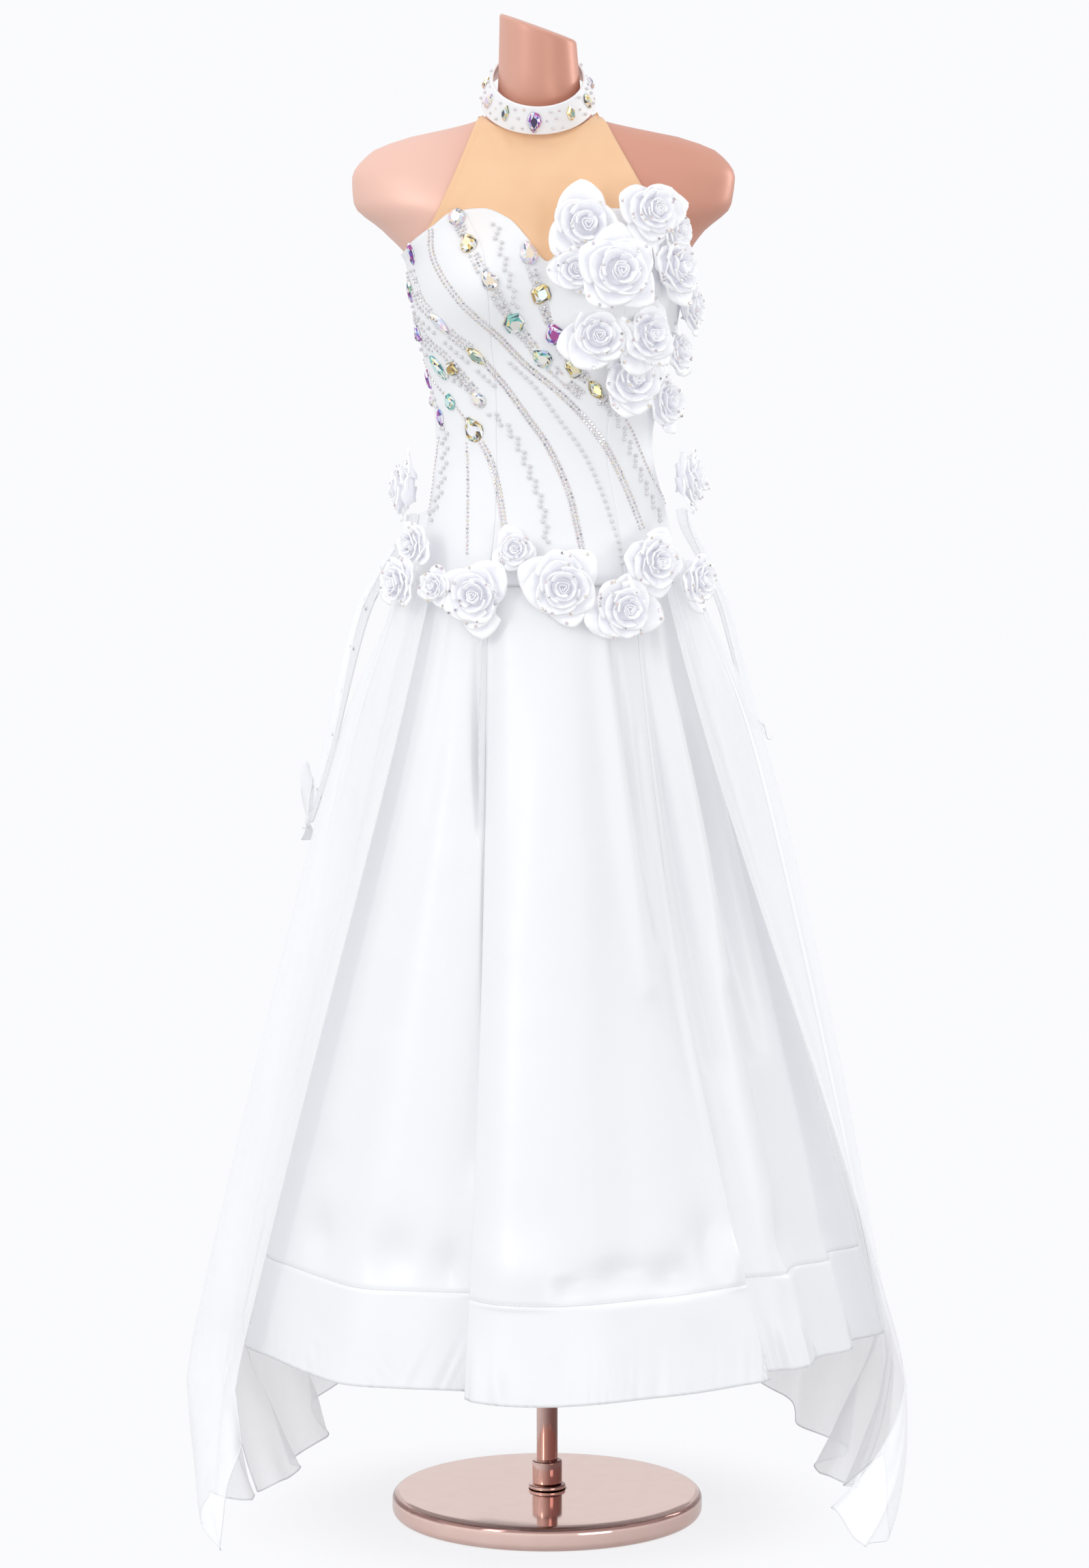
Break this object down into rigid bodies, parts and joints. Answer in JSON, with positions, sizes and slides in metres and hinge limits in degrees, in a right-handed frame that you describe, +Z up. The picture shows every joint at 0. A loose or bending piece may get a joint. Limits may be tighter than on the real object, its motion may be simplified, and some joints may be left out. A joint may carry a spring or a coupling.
{
  "type": "ballroom dance dress on a dress form",
  "caption": "Floor-length ballroom dance dress, halter collar, sweetheart bodice with satin roses, flared satin skirt and chiffon side floats, on a limbless dress form with rod and round base",
  "frame": {"origin": "middle of the underside of the round base, where the stand rests on the floor", "axes": "+Z up, the front of the dress looks along -Y, +X is to the right as seen from the front"},
  "size_m": [0.8145, 0.7376, 1.6876],
  "materials": {
    "crepe": "matte white stretch crepe",
    "collar_satin": "dull white satin",
    "skirt_satin": "heavy white satin, soft sheen",
    "chiffon": "sheer white chiffon",
    "rose_satin": "white satin ribbon with a bright sheen",
    "nude_mesh": "nude stretch mesh, matte",
    "form_skin": "satin rose-gold paint",
    "rose_gold": "polished rose gold plate"
  },
  "bodies": {
    "root": {"bodice_back_left": "crepe", "bodice_back_right": "crepe", "bodice_front": "crepe", "bodice_front_left": "crepe", "bodice_front_right": "crepe", "collar_band": "collar_satin", "float_left": "chiffon", "float_left_back": "chiffon", "float_right": "chiffon", "float_right_back": "chiffon", "form_torso": "form_skin", "rose_bust_01": "rose_satin", "rose_bust_02": "rose_satin", "rose_bust_03": "rose_satin", "rose_bust_04": "rose_satin", "rose_bust_05": "rose_satin", "rose_bust_06": "rose_satin", "rose_bust_07": "rose_satin", "rose_bust_08": "rose_satin", "rose_bust_09": "rose_satin", "rose_bust_10": "rose_satin", "rose_bust_11": "rose_satin", "rose_bust_12": "rose_satin", "rose_hip_01": "rose_satin", "rose_hip_02": "rose_satin", "rose_hip_03": "rose_satin", "rose_hip_04": "rose_satin", "rose_hip_05": "rose_satin", "rose_hip_06": "rose_satin", "rose_hip_07": "rose_satin", "rose_hip_08": "rose_satin", "rose_hip_09": "rose_satin", "rose_hip_10": "rose_satin", "rose_hip_11": "rose_satin", "rose_hip_12": "rose_satin", "rose_hip_13": "rose_satin", "rose_hip_14": "rose_satin", "skirt_back_left": "skirt_satin", "skirt_back_right": "skirt_satin", "skirt_front": "skirt_satin", "skirt_front_left": "skirt_satin", "skirt_front_right": "skirt_satin", "stand_base": "rose_gold", "stand_rod": "rose_gold", "stand_socket": "rose_gold", "wrist_float_left": "chiffon", "wrist_float_right": "chiffon", "yoke_front": "nude_mesh"}
  },
  "joints": []
}
